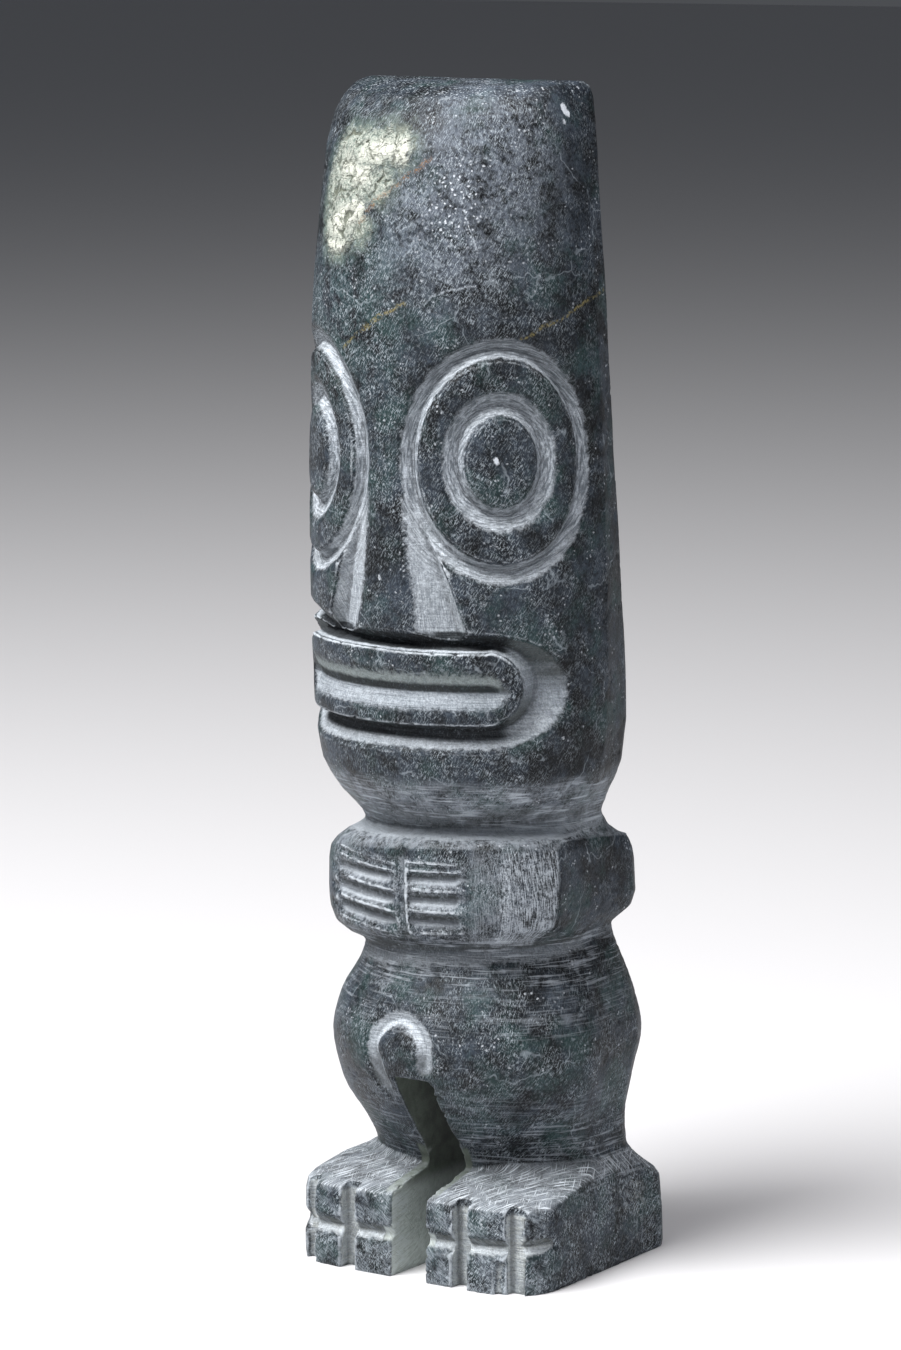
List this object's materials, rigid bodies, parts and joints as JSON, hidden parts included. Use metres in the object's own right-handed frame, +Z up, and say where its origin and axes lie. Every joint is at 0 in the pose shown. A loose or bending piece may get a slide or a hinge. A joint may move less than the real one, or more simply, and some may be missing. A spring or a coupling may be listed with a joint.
{
  "type": "stone deity figure",
  "caption": "Standing stone deity figure with a tall flat-backed head, ringed eyes, a wide barred mouth, folded hands, slotted legs and block feet.",
  "frame": {"origin": "under the middle of the figure's outline box, on the level that the soles stand on", "axes": "+Z up, the face looks towards -Y, +X is the figure's own left"},
  "size_m": [0.0404, 0.0388, 0.149],
  "materials": {
    "stone": "satin"
  },
  "bodies": {
    "root": {"tiki_figure": "stone"}
  },
  "joints": []
}
